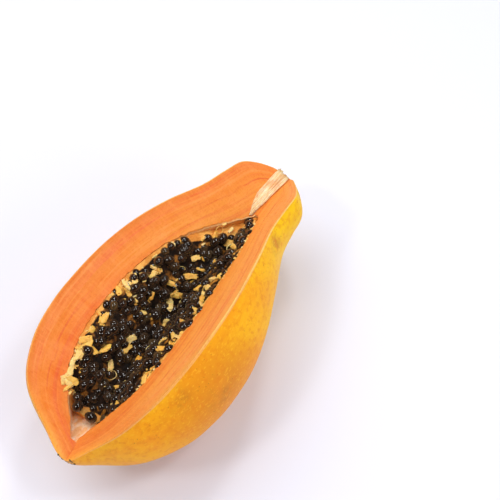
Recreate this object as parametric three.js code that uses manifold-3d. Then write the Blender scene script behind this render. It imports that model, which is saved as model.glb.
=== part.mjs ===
import * as THREE from 'three';
import { mergeVertices } from 'three/addons/utils/BufferGeometryUtils.js';
import Module from 'manifold-3d';

// A ripe papaya with a long wedge cut out of it, lying on its belly, in millimetres with +Z up.
// Every shape is first drawn about a straight core line, with x counted from the blossom tip
// to the stem, and is then bowed sideways as the grown fruit is.

// Fruit
const fruitLength = 220;
const skinProfile = [
  [0, 0], [1, 6], [7, 16], [22, 37.5], [44, 52], [66, 56.5], [88, 56.4], [110, 54.6],
  [132, 50], [154, 42.6], [176, 33], [193, 28.8], [204, 26], [211, 19.5], [216, 12],
  [219, 5.5], [220, 0],
];
const skinRings = 34;
const skinSides = 45;
const skinLobe = 0.012;
const flatSpotHeight = -54.8;

// Where the fruit is fuller or flatter than round: by what share of its radius, around which
// angle from straight up and which place along, and how far that spreads in both
const swellings = [
  { share: 0.085, angle: -1.75, angleSpread: 0.6, x: 98, xSpread: 45 },
  { share: -0.052, angle: -0.8, angleSpread: 0.5, x: 40, xSpread: 35 },
  { share: 0.068, angle: 1.12, angleSpread: 0.5, x: 22, xSpread: 16 },
];

// Bow of the core line, which starts to one side and then hooks over to the other
const coreStart = 2;
const coreHook = 25.5;
const coreHookPower = 2.2;

// The neck grows a little to one side of the core line
const neckSideways = 2.9;
const neckMiddle = 196;
const neckSpread = 52;

// Wedge: the two flat cuts meet on the core line, each at an angle from straight up
const farCut = THREE.MathUtils.degToRad(64);
const nearCut = THREE.MathUtils.degToRad(45.6);
const wedgeReach = 130;
const wedgeSteps = 24;

// Seed cavity
const cavityProfile = [
  [12, 0], [17, 7], [26.5, 14.5], [44, 25.5], [66, 31], [88, 32.3], [110, 31], [132, 27.5],
  [154, 21.5], [176, 12.5], [187, 6], [192.5, 0],
];
const cavityRings = 15;
const cavitySides = 20;
const cavityLobe = 0.07;
const cavitySideways = 7.2;
const cavityFade = 50;
const cavityBack = 1.5;
const lobes = 5;

// Clearance between pieces that lie against each other
const gap = 0.35;

// Pulp that lines the cavity and holds the seeds
const pulpThickness = 1.4;
const pulpScraps = 14;
const scrapStalk = 1.1;
const scrapTop = 3.4;
const scrapStretch = 1.5;
const scrapSides = 4;
const rimPatches = [
  { x: 44, y: 23 }, { x: 57, y: 27 }, { x: 70, y: 28 }, { x: 96, y: 25 }, { x: 118, y: 21 },
  { x: 60, y: -16 }, { x: 84, y: -18 }, { x: 112, y: -17 }, { x: 133, y: -14 },
];
const patchTop = 6;

// Seed bed: it follows the two cuts a little lower, with a valley along the middle
const bedStart = 29;
const bedEnd = 184;
const bedBelowCut = 2.2;
const valleyDepth = 8;
const valleyWidth = 15;
const tipSlope = 9;
const tipSlopeLength = 15;
const coreBelowSeeds = 1.6;

// Seeds
const seedLength = 8;
const seedWidth = 6.6;
const seedPitch = 7.7;
const seedRowPitch = 7.5;
const seedJitter = 0.9;

// Woody strand from the stem to the cavity
const strandStart = 187;
const strandEnd = 221.5;
const strandRadiusInside = 2.9;
const strandRadiusOutside = 4.6;
const strandSideways = 3.6;
const strandProud = 0.6;

const wasm = await Module();
wasm.setup();

// The same row of random numbers every time, between 0 and 1
function seededRandom(seed) {
  let state = seed;
  return () => {
    state = (state * 1664525 + 1013904223) % 4294967296;
    return state / 4294967296;
  };
}

// Sideways place of the core line at a distance from the blossom tip
function coreLine(x) {
  const along = THREE.MathUtils.clamp(x / fruitLength, 0, 1.05);
  return coreStart * along - coreHook * along ** coreHookPower;
}

function coreSlope(x) {
  const along = THREE.MathUtils.clamp(x / fruitLength, 0, 1.05);
  return (coreStart - coreHook * coreHookPower * along ** (coreHookPower - 1)) / fruitLength;
}

// The shape moved with the core line, and its cross-sections turned square to it
function bowed(geometry) {
  const position = geometry.attributes.position;
  for (let i = 0; i < position.count; i += 1) {
    const x = position.getX(i);
    const y = position.getY(i);
    position.setXY(i, x - y * coreSlope(x), y + coreLine(x));
  }
  return geometry;
}

// A closed geometry as a solid that can be joined and cut
function solidOf(geometry) {
  geometry.deleteAttribute('normal');
  geometry.deleteAttribute('uv');
  const merged = mergeVertices(geometry, 1e-4);
  const index = merged.index.array;
  const triVerts = [];
  for (let i = 0; i < index.length; i += 3) {
    const [a, b, c] = index.slice(i, i + 3);
    if (a !== b && b !== c && c !== a) {
      triVerts.push(a, b, c);
    }
  }
  return new wasm.Manifold(new wasm.Mesh({
    numProp: 3,
    vertProperties: new Float32Array(merged.attributes.position.array),
    triVerts: new Uint32Array(triVerts),
  }));
}

// The largest closed surface of a solid: loose scraps and sealed hollows are left out
function largestSurface(solid) {
  const { vertProperties, triVerts } = solid.getMesh();
  const parent = Array.from({ length: vertProperties.length / 3 }, (_, i) => i);
  const rootOf = (i) => {
    let at = i;
    while (parent[at] !== at) {
      parent[at] = parent[parent[at]];
      at = parent[at];
    }
    return at;
  };
  for (let i = 0; i < triVerts.length; i += 3) {
    parent[rootOf(triVerts[i])] = rootOf(triVerts[i + 1]);
    parent[rootOf(triVerts[i + 1])] = rootOf(triVerts[i + 2]);
  }
  const surfaces = new Map();
  for (let i = 0; i < triVerts.length; i += 3) {
    const root = rootOf(triVerts[i]);
    surfaces.set(root, [...(surfaces.get(root) ?? []), triVerts[i], triVerts[i + 1], triVerts[i + 2]]);
  }
  const largest = [...surfaces.values()].sort((a, b) => b.length - a.length)[0];
  const geometry = new THREE.BufferGeometry();
  geometry.setAttribute('position', new THREE.BufferAttribute(vertProperties, 3));
  geometry.setIndex(largest);
  return geometry;
}

// Share of the round radius that the skin has at a place along and an angle from straight up
function skinShare(x, angle) {
  let share = 1 + skinLobe * Math.cos(lobes * (angle - farCut));
  for (const swelling of swellings) {
    const apart = angle - swelling.angle;
    const around = Math.atan2(Math.sin(apart), Math.cos(apart)) / swelling.angleSpread;
    const along = (x - swelling.x) / swelling.xSpread;
    share *= 1 + swelling.share * Math.exp(-(around ** 2) - along ** 2);
  }
  return share;
}

// A turned body along X, with its radius and the place of its middle each changed by a rule
function lobedBody(profile, inset, rings, sides, shareAt, sideways) {
  const points = profile.map(([x, radius]) => new THREE.Vector2(Math.max(radius - inset, 0), x));
  const outline = new THREE.SplineCurve(points).getSpacedPoints(rings);
  outline[0].x = 0;
  outline[rings].x = 0;
  const geometry = new THREE.LatheGeometry(outline, sides);
  geometry.rotateZ(-Math.PI / 2);
  const position = geometry.attributes.position;
  for (let i = 0; i < position.count; i += 1) {
    const x = position.getX(i);
    const share = shareAt(x, Math.atan2(position.getY(i), position.getZ(i)));
    position.setY(i, position.getY(i) * share + sideways(x));
    position.setZ(i, position.getZ(i) * share);
  }
  return solidOf(bowed(geometry));
}

function cavity(inset) {
  const shareAt = (x, angle) => 1 + cavityLobe * Math.cos(lobes * (angle - farCut));
  const sideways = (x) => cavitySideways * Math.exp(-x / cavityFade) - cavityBack;
  return lobedBody(cavityProfile, inset, cavityRings, cavitySides, shareAt, sideways);
}

// The removed wedge, with its edge on the core line, or raised above it
function wedge(raised) {
  const section = new THREE.Shape();
  section.moveTo(0, raised);
  section.lineTo(wedgeReach * Math.sin(farCut), raised + wedgeReach * Math.cos(farCut));
  section.lineTo(-wedgeReach * Math.sin(nearCut), raised + wedgeReach * Math.cos(nearCut));
  const geometry = new THREE.ExtrudeGeometry(section, {
    depth: fruitLength * 1.1,
    steps: wedgeSteps,
    bevelEnabled: false,
  });
  const yAxis = new THREE.Vector3(0, 1, 0);
  const zAxis = new THREE.Vector3(0, 0, 1);
  const xAxis = new THREE.Vector3(1, 0, 0);
  geometry.applyMatrix4(new THREE.Matrix4().makeBasis(yAxis, zAxis, xAxis));
  geometry.translate(-0.05 * fruitLength, 0, 0);
  return solidOf(bowed(geometry));
}

// The woody strand, or the groove that it lies in when it is grown
function strandBody(grown) {
  const length = strandEnd - strandStart + 2 * grown;
  const geometry = new THREE.CylinderGeometry(
    strandRadiusOutside + grown,
    strandRadiusInside + grown,
    length,
    10,
    5,
  );
  geometry.rotateZ(-Math.PI / 2);
  geometry.translate((strandStart + strandEnd) / 2, strandSideways, -0.5);
  return solidOf(bowed(geometry));
}

function floorBlock() {
  const depth = 20;
  const geometry = new THREE.BoxGeometry(fruitLength * 2, fruitLength, depth);
  geometry.translate(fruitLength / 2, 0, flatSpotHeight - depth / 2);
  return solidOf(geometry);
}

// Height of the middle of the seeds over a place in the cavity
function bedHeight(x, y) {
  const cutHeight = y > 0 ? y / Math.tan(farCut) : -y / Math.tan(nearCut);
  const fromEnds = Math.sin(Math.PI * THREE.MathUtils.clamp((x - bedStart) / (bedEnd - bedStart), 0, 1));
  const valley = valleyDepth * fromEnds * Math.exp(-((y / valleyWidth) ** 2));
  const slope = tipSlope * Math.exp(-(((x - bedStart) / tipSlopeLength) ** 2));
  return cutHeight - bedBelowCut - valley - slope;
}

// Everything under the seed bed, less a depth
function underBed(lowered) {
  const halfWidth = 45;
  const bottom = -60;
  const geometry = new THREE.BoxGeometry(bedEnd - bedStart, halfWidth * 2, -bottom, 14, 10, 1);
  geometry.translate((bedStart + bedEnd) / 2, 0, bottom / 2);
  const position = geometry.attributes.position;
  for (let i = 0; i < position.count; i += 1) {
    if (position.getZ(i) > bottom / 2) {
      position.setZ(i, bedHeight(position.getX(i), position.getY(i)) - lowered);
    }
  }
  return solidOf(bowed(geometry));
}

// One piece of pulp: a stalk from the lining that widens to a torn, angular top
function pulpScrap({ x, y, top, turn, tilt }, grown) {
  const root = -33;
  const topHeight = bedHeight(x, y) + 2;
  const height = topHeight - root;
  const geometry = new THREE.CylinderGeometry(top + grown, scrapStalk + grown, height, scrapSides);
  geometry.rotateX(Math.PI / 2);
  geometry.scale(scrapStretch, 1, 1);
  geometry.rotateZ(turn);
  const position = geometry.attributes.position;
  for (let i = 0; i < position.count; i += 1) {
    const lift = position.getZ(i) > 0 ? tilt * position.getY(i) + grown : 0;
    position.setZ(i, position.getZ(i) + lift);
  }
  geometry.translate(x, y, root + height / 2);
  return solidOf(bowed(geometry));
}

function pulpScrapPlaces() {
  const random = seededRandom(11);
  const places = rimPatches.map(({ x, y }) => ({
    x,
    y,
    top: patchTop * (0.8 + 0.4 * random()),
    turn: 0.6 * (random() - 0.5),
    tilt: y > 0 ? 0.4 : -0.7,
  }));
  for (let i = 0; i < pulpScraps; i += 1) {
    const x = THREE.MathUtils.lerp(bedStart + 12, bedEnd - 16, (i + random()) / pulpScraps);
    const width = 20 * Math.sin(Math.PI * (x - 12) / 180);
    const y = (2 * random() - 1) * width + 3;
    places.push({
      x,
      y,
      top: scrapTop * (0.6 + 0.8 * random()),
      turn: Math.PI * random(),
      tilt: 0.5 * (random() - 0.5) + (y > 0 ? 0.2 : -0.3),
    });
  }
  return places;
}

function makePulp(places) {
  let solid = cavity(gap).subtract(cavity(gap + pulpThickness)).intersect(underBed(-1));
  for (const place of places) {
    solid = solid.add(pulpScrap(place, 0));
  }
  return largestSurface(solid.intersect(cavity(gap)));
}

function oneSeed(x, y, random) {
  const geometry = new THREE.IcosahedronGeometry(1, 0);
  geometry.scale(seedLength / 2, seedWidth / 2, seedWidth / 2);
  geometry.rotateY((random() - 0.5) * 1.6);
  geometry.rotateZ(random() * Math.PI);
  geometry.translate(x, y, bedHeight(x, y) + (random() - 0.5) * seedJitter);
  return solidOf(bowed(geometry));
}

// Seeds in rows across the bed, an even step apart along its slope
function makeSeeds(places) {
  const random = seededRandom(5);
  let solid = underBed(coreBelowSeeds);
  let shifted = false;
  for (let x = bedStart + 4; x < bedEnd - 2; x += seedRowPitch) {
    let y = shifted ? -42 : -42 - seedPitch / 2;
    while (y < 42) {
      const slope = (bedHeight(x, y + 0.5) - bedHeight(x, y - 0.5));
      y += seedPitch / Math.hypot(1, slope);
      solid = solid.add(oneSeed(
        x + (random() - 0.5) * seedJitter * 2,
        y + (random() - 0.5) * seedJitter,
        random,
      ));
    }
    shifted = !shifted;
  }
  solid = solid.intersect(cavity(2 * gap + pulpThickness));
  for (const place of places) {
    solid = solid.subtract(pulpScrap(place, gap));
  }
  return largestSurface(solid);
}

function makeFruit() {
  const sideways = (x) => neckSideways * Math.exp(-(((x - neckMiddle) / neckSpread) ** 2));
  const solid = lobedBody(skinProfile, 0, skinRings, skinSides, skinShare, sideways)
    .subtract(cavity(0))
    .subtract(wedge(0))
    .subtract(strandBody(gap))
    .subtract(floorBlock());
  return largestSurface(solid);
}

function makeStrand() {
  return largestSurface(strandBody(0).subtract(wedge(strandProud)));
}

function piece(name, geometry, color, roughness) {
  const material = new THREE.MeshStandardMaterial({ color, roughness, metalness: 0 });
  const mesh = new THREE.Mesh(geometry, material);
  mesh.name = name;
  return mesh;
}

const scrapPlaces = pulpScrapPlaces();
const papaya = new THREE.Group();
papaya.add(piece('fruit', makeFruit(), 0xf09a38, 0.45));
papaya.add(piece('stem_strand', makeStrand(), 0xe6d3a0, 0.8));
papaya.add(piece('seed_pulp', makePulp(scrapPlaces), 0xe9a94e, 0.6));
papaya.add(piece('seeds', makeSeeds(scrapPlaces), 0x231a12, 0.25));

// The origin is under the middle of the fruit, on the surface that it lies on
const box = new THREE.Box3().setFromObject(papaya);
const middle = box.getCenter(new THREE.Vector3());
papaya.position.set(-middle.x, -middle.y, -box.min.z);

export default papaya;
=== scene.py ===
import logging
import math
import random
from dataclasses import dataclass
from enum import Enum

import bpy
import numpy as np
from mathutils import Euler, Matrix, Vector, noise


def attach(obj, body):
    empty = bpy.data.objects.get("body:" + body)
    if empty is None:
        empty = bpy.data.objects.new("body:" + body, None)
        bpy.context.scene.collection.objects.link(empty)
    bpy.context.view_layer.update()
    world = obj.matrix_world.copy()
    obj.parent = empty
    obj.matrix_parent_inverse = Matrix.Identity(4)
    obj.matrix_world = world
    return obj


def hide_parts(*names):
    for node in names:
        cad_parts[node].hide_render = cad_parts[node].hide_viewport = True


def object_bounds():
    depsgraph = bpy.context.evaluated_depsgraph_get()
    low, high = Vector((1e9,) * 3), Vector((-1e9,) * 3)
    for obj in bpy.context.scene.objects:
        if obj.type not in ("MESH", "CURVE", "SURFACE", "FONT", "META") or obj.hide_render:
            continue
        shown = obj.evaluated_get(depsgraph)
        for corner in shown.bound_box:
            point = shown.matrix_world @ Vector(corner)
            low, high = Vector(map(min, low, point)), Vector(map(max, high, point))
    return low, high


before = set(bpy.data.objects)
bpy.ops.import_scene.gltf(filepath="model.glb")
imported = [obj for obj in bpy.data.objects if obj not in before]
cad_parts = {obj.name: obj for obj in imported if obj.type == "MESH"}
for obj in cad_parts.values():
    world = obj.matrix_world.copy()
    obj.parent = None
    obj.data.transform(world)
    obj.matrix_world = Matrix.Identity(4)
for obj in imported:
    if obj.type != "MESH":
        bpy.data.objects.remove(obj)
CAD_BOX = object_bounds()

log = logging.getLogger("papaya")
MM = 0.001
BODY = "root"

Piece = bpy.types.Object
Material = bpy.types.Material
Socket = bpy.types.NodeSocket
Inputs = dict[int | str, object]
Triple = tuple[float, float, float]
Colour = tuple[float, float, float, float]
Steps = tuple[int, int, int]
Ramp = tuple[tuple[float, Steps], ...]


class Side(Enum):
    """The two cut faces: the far one lies to the left in the photograph's view."""

    FAR = 1
    NEAR = -1


class Slot(Enum):
    """The record's material slots."""

    FRUIT = "fruit_skin_and_flesh"
    STEM = "woody_stem"
    PULP = "seed_pulp"
    SEEDS = "seeds"


def srgb(red: int, green: int, blue: int) -> Colour:
    """Turns a colour in 0 to 255 display steps into the linear colour that a shader takes.

    Args:
        red: Red step.
        green: Green step.
        blue: Blue step.

    Returns:
        Linear red, green, blue and an alpha of 1.
    """
    linear = []
    for step in (red, green, blue):
        share = step / 255
        linear.append(share / 12.92 if share <= 0.04045 else ((share + 0.055) / 1.055) ** 2.4)
    return linear[0], linear[1], linear[2], 1.0


class SeededRow:
    """The row of random numbers that the solid model draws its scraps of pulp from."""

    def __init__(self, seed: int) -> None:
        """Starts the row at a seed."""
        self.state = seed

    def draw(self) -> float:
        """Returns the next number, between 0 and 1."""
        self.state = (self.state * 1664525 + 1013904223) % 4294967296
        return self.state / 4294967296


def spline_through(points: list[tuple[float, float]], samples: int) -> np.ndarray:
    """Draws an even curve through points, passing through each of them.

    Args:
        points: Points along the curve.
        samples: How many points the returned curve has.

    Returns:
        An array of points, evenly spaced along the curve.
    """
    knots = np.array([points[0], *points, points[-1]], float)
    steps_each = 60
    dense = []
    for i in range(len(points) - 1):
        p0, p1, p2, p3 = knots[i:i + 4]
        t = np.linspace(0, 1, steps_each, endpoint=False)[:, None]
        half = 0.5 * (p2 - p0)
        next_half = 0.5 * (p3 - p1)
        dense.append(
            (2 * p1 - 2 * p2 + half + next_half) * t**3
            + (-3 * p1 + 3 * p2 - 2 * half - next_half) * t**2
            + half * t
            + p1
        )
    curve = np.vstack([*dense, knots[-1:]])
    steps = np.hypot(*np.diff(curve, axis=0).T)
    length = np.concatenate([[0], np.cumsum(steps)])
    even = np.linspace(0, length[-1], samples)
    return np.stack([np.interp(even, length, curve[:, k]) for k in (0, 1)], axis=1)


@dataclass(frozen=True)
class Swelling:
    """Where the fruit is fuller or flatter than round: share of its radius, and how far it spreads."""

    share: float
    angle: float
    angle_spread: float
    x: float
    x_spread: float


@dataclass(frozen=True)
class FruitForm:
    """The form that every piece follows, in millimetres about the straight core line.

    x is counted from the blossom tip. Angles are measured from straight up, towards the far side.
    """

    length: float = 220.0
    skin_profile: tuple[tuple[float, float], ...] = (
        (0, 0), (1, 6), (7, 16), (22, 37.5), (44, 52), (66, 56.5), (88, 56.4), (110, 54.6),
        (132, 50), (154, 42.6), (176, 33), (193, 28.8), (204, 26), (211, 19.5), (216, 12),
        (219, 5.5), (220, 0),
    )
    cavity_profile: tuple[tuple[float, float], ...] = (
        (8.5, 0), (17, 5.4), (26.5, 13.2), (44, 25.2), (66, 31), (88, 32.3), (110, 31), (132, 27.5),
        (154, 20.3), (171, 12), (182, 5.6), (189, 0),
    )
    lobes: int = 5
    skin_lobe: float = 0.012
    skin_inset: float = 0.13
    cavity_lobe: float = 0.07
    swellings: tuple[Swelling, ...] = (
        Swelling(0.085, -1.75, 0.6, 98, 45),
        Swelling(-0.052, -0.8, 0.5, 40, 35),
        Swelling(0.068, 1.12, 0.5, 22, 16),
    )
    cavity_sideways: float = 7.2
    cavity_fade: float = 50.0
    cavity_back: float = 1.5
    cavity_stem_back: float = 2.4
    stem_back_start: float = 125.0
    stem_back_length: float = 45.0
    curve_samples: int = 800
    cavity_samples: int = 600
    rim_search: float = 50.0
    rim_steps: int = 500
    core_start: float = 2.0
    core_hook: float = 25.5
    core_hook_power: float = 2.2
    neck_sideways: float = 2.9
    neck_middle: float = 196.0
    neck_spread: float = 52.0
    neck_end_fade: float = 3.0
    far_cut: float = math.radians(64)
    near_cut: float = math.radians(-45.6)
    flat_spot: float = -54.8
    core_sideways: float = 4.44
    bed_start: float = 29.0
    bed_end: float = 184.0
    bed_below_cut: float = 2.2
    valley_depth: float = 8.0
    valley_width: float = 15.0
    tip_slope: float = 9.0
    tip_slope_length: float = 15.0
    end_floor_start: float = 10.0
    end_floor_depth: float = 1.2
    end_floor_slope: float = 0.42
    end_floor_stop: float = 36.0
    end_floor_drop: float = 6.0
    bed_tip: float = 12.0
    bed_spread: float = 180.0

    def cut(self, side: Side) -> float:
        """Returns the angle of a cut."""
        return self.far_cut if side is Side.FAR else self.near_cut

    def core(self, x: np.ndarray | float) -> np.ndarray | float:
        """Returns the sideways place of the core line at x."""
        along = np.clip(np.asarray(x, float) / self.length, 0, 1.05)
        return self.core_start * along - self.core_hook * along**self.core_hook_power

    def core_slope(self, x: np.ndarray | float) -> np.ndarray | float:
        """Returns how steeply the core line runs sideways at x."""
        along = np.clip(np.asarray(x, float) / self.length, 0, 1.05)
        power = self.core_hook_power
        return (self.core_start - self.core_hook * power * along**(power - 1)) / self.length

    def skin_curve(self, samples: int) -> np.ndarray:
        """Returns points of x and skin radius, evenly spaced along the skin."""
        return spline_through(list(self.skin_profile), samples)

    def skin_radius(self, x: np.ndarray, angle: np.ndarray | float) -> np.ndarray:
        """Returns the skin's radius at x and an angle round the core."""
        curve = self.skin_curve(self.curve_samples)
        radius = np.maximum(np.interp(x, curve[:, 0], curve[:, 1]) - self.skin_inset, 0)
        radius = radius * (1 + self.skin_lobe * np.cos(self.lobes * (angle - self.far_cut)))
        for swelling in self.swellings:
            apart = angle - swelling.angle
            around = np.arctan2(np.sin(apart), np.cos(apart)) / swelling.angle_spread
            along = (x - swelling.x) / swelling.x_spread
            radius = radius * (1 + swelling.share * np.exp(-(around**2) - along**2))
        return radius

    def skin_shift(self, x: np.ndarray) -> np.ndarray:
        """Returns how far the middle of the skin lies to the far side of the core."""
        neck = self.neck_sideways * np.exp(-(((x - self.neck_middle) / self.neck_spread) ** 2))
        return neck * np.clip((self.length - x) / self.neck_end_fade, 0, 1)

    def skin_reach(self, x: np.ndarray, cut: float) -> np.ndarray:
        """Returns the distance from the core to the skin along a cut."""
        shift = self.skin_shift(x)
        reach = self.skin_radius(x, cut)
        for _ in range(6):
            angle = np.arctan2(reach * math.sin(cut) - shift, reach * math.cos(cut))
            aside = shift * math.cos(cut)
            reach = np.sqrt(np.maximum(self.skin_radius(x, angle) ** 2 - aside**2, 0))
            reach = np.maximum(reach + shift * math.sin(cut), 0)
        return reach

    def cavity_shift(self, x: np.ndarray) -> np.ndarray:
        """Returns how far the middle of the cavity lies to the far side of the core."""
        near_stem = np.clip((x - self.stem_back_start) / self.stem_back_length, 0, 1)
        stem_back = self.cavity_stem_back * near_stem**2 * (3 - 2 * near_stem)
        return self.cavity_sideways * np.exp(-x / self.cavity_fade) - self.cavity_back - stem_back

    def cavity_radius(self, x: np.ndarray, angle: np.ndarray | float) -> np.ndarray:
        """Returns the cavity's radius at x and an angle round the cavity's own middle."""
        curve = spline_through(list(self.cavity_profile), self.cavity_samples)
        plain = np.interp(x, curve[:, 0], curve[:, 1], left=0, right=0)
        return plain * (1 + self.cavity_lobe * np.cos(self.lobes * (angle - self.far_cut)))

    def end_floor(self, x: np.ndarray) -> np.ndarray:
        """Returns the lowest height of the bare, shallow blossom end of the cavity."""
        slope = -self.end_floor_depth - self.end_floor_slope * (x - self.end_floor_start)
        drop = self.end_floor_drop * (x - self.end_floor_stop)
        return np.where(x < self.end_floor_stop, slope, slope - drop)

    def rim(self, x: np.ndarray, cut: float) -> np.ndarray:
        """Finds where a cut face meets the cavity.

        Args:
            x: Places along the fruit.
            cut: The cut's angle.

        Returns:
            The distance from the core along the cut, or 0 where the flesh is solid.
        """
        reach = np.linspace(0, self.rim_search, self.rim_steps + 1)
        y = reach[None, :] * math.sin(cut) - self.cavity_shift(x)[:, None]
        z = reach[None, :] * math.cos(cut)
        inside = np.hypot(y, z) < self.cavity_radius(x[:, None], np.arctan2(y, z))
        from_end = np.argmax(inside[:, ::-1], axis=1)
        last = np.where(inside.any(axis=1), self.rim_steps - from_end, 0)
        return reach[last]

    def bed_height(self, x: float, y: float) -> float:
        """Returns the height of the middle of the seeds over a place in the cavity."""
        cut_height = y / math.tan(self.far_cut) if y > 0 else y / math.tan(self.near_cut)
        share = min(max((x - self.bed_start) / (self.bed_end - self.bed_start), 0), 1)
        valley = self.valley_depth * math.sin(math.pi * share)
        valley *= math.exp(-((y / self.valley_width) ** 2))
        slope = self.tip_slope * math.exp(-(((x - self.bed_start) / self.tip_slope_length) ** 2))
        return cut_height - self.bed_below_cut - valley - slope

    def bed_width(self, x: float) -> float:
        """Returns how wide the bed is at x, as a share of its widest."""
        return math.sin(math.pi * (x - self.bed_tip) / self.bed_spread)

    def bed_slope(self, x: float, y: float) -> float:
        """Returns how steeply the bed rises to the far side."""
        return self.bed_height(x, y + 0.5) - self.bed_height(x, y - 0.5)

    def in_cavity(self, x: float, y: float, z: float, inset: float) -> bool:
        """Tells whether a place is inside the cavity, by at least an inset."""
        y_own = y - float(self.cavity_shift(np.array([x]))[0])
        radius = float(self.cavity_radius(np.array([x]), math.atan2(y_own, z))[0])
        return math.hypot(y_own, z) < radius - inset

    def place(self, x: float, y: float, z: float) -> Vector:
        """Turns a place about the straight core into metres in the row frame."""
        return Vector(self.place_all(np.array([[x, y, z]]))[0])

    def place_all(self, points: np.ndarray) -> np.ndarray:
        """Turns an array of places about the straight core into metres in the row frame."""
        moved = points.copy()
        x, y = points[:, 0], points[:, 1]
        moved[:, 0] = (x - y * self.core_slope(x)) * MM + CAD_BOX[0].x
        moved[:, 1] = (y + self.core(x) + self.core_sideways) * MM
        moved[:, 2] = (points[:, 2] - self.flat_spot) * MM
        return moved


def deselect_everything() -> None:
    """Leaves no object selected, so that an operator acts only on what comes next."""
    if bpy.context.object and bpy.context.object.mode != "OBJECT":
        bpy.ops.object.mode_set(mode="OBJECT")
    bpy.ops.object.select_all(action="DESELECT")


def select_only(piece: Piece) -> None:
    """Selects one object and makes it the active one."""
    deselect_everything()
    piece.select_set(True)
    bpy.context.view_layer.objects.active = piece


def coordinates(piece: Piece) -> np.ndarray:
    """Returns a mesh's vertex places as an array with a row for each vertex."""
    places = np.empty(len(piece.data.vertices) * 3)
    piece.data.vertices.foreach_get("co", places)
    return places.reshape(-1, 3)


def move_vertices(piece: Piece, places: np.ndarray) -> None:
    """Puts a mesh's vertices at new places."""
    piece.data.vertices.foreach_set("co", places.reshape(-1))
    piece.data.update()


def add_vertex_value(piece: Piece, name: str, values: np.ndarray) -> None:
    """Stores a number, or a vector, for each vertex, for a material to read."""
    kind, key = ("FLOAT_VECTOR", "vector") if values.ndim == 2 else ("FLOAT", "value")
    attribute = piece.data.attributes.new(name, kind, "POINT")
    attribute.data.foreach_set(key, values.reshape(-1).astype(np.float32))


def grid_piece(name: str, across: int, along: int) -> tuple[Piece, np.ndarray]:
    """Adds a grid whose vertices are then laid on a surface.

    Args:
        name: The piece's name.
        across: Vertices across.
        along: Vertices along.

    Returns:
        The piece, and for each vertex its place in the grid as two shares from 0 to 1.
    """
    deselect_everything()
    bpy.ops.mesh.primitive_grid_add(x_subdivisions=across - 1, y_subdivisions=along - 1, size=1)
    piece = bpy.context.object
    piece.name = name
    piece.data.name = name
    return piece, coordinates(piece)[:, :2] + 0.5


def close_up(piece: Piece, distance: float) -> None:
    """Merges vertices that lie together and turns all faces outwards."""
    select_only(piece)
    bpy.ops.object.mode_set(mode="EDIT")
    bpy.ops.mesh.select_all(action="SELECT")
    bpy.ops.mesh.remove_doubles(threshold=distance)
    bpy.ops.mesh.dissolve_degenerate(threshold=distance * 0.5)
    bpy.ops.mesh.select_all(action="SELECT")
    bpy.ops.mesh.normals_make_consistent(inside=False)
    bpy.ops.object.mode_set(mode="OBJECT")


def apply_modifier(piece: Piece, kind: str, **values: object) -> None:
    """Adds a modifier with the values given, and applies it."""
    select_only(piece)
    modifier = piece.modifiers.new(kind.title(), kind)
    for key, value in values.items():
        setattr(modifier, key, value)
    bpy.ops.object.modifier_apply(modifier=modifier.name)


def join(pieces: list[Piece], name: str) -> Piece:
    """Joins pieces of one kind into one object."""
    deselect_everything()
    for piece in pieces:
        piece.select_set(True)
    bpy.context.view_layer.objects.active = pieces[0]
    bpy.ops.object.join()
    pieces[0].name = name
    pieces[0].data.name = name
    return pieces[0]


def copy_of(piece: Piece, matrix: Matrix) -> Piece:
    """Copies a piece with its own mesh, and moves the copy's mesh."""
    made = piece.copy()
    made.data = piece.data.copy()
    made.data.transform(matrix)
    bpy.context.scene.collection.objects.link(made)
    return made


def roughen(places: np.ndarray, scale: float, seed: float) -> np.ndarray:
    """Returns smooth noise between -1 and 1 for each place in millimetres.

    Args:
        places: Places, a row each.
        scale: Bumps per millimetre.
        seed: Moves the pattern, so that two of them differ.

    Returns:
        The noise, a number for each place.
    """
    shift = Vector((seed, seed * 0.7, seed * 1.3))
    return np.array([noise.noise(Vector(p) * scale + shift) for p in places])


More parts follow.
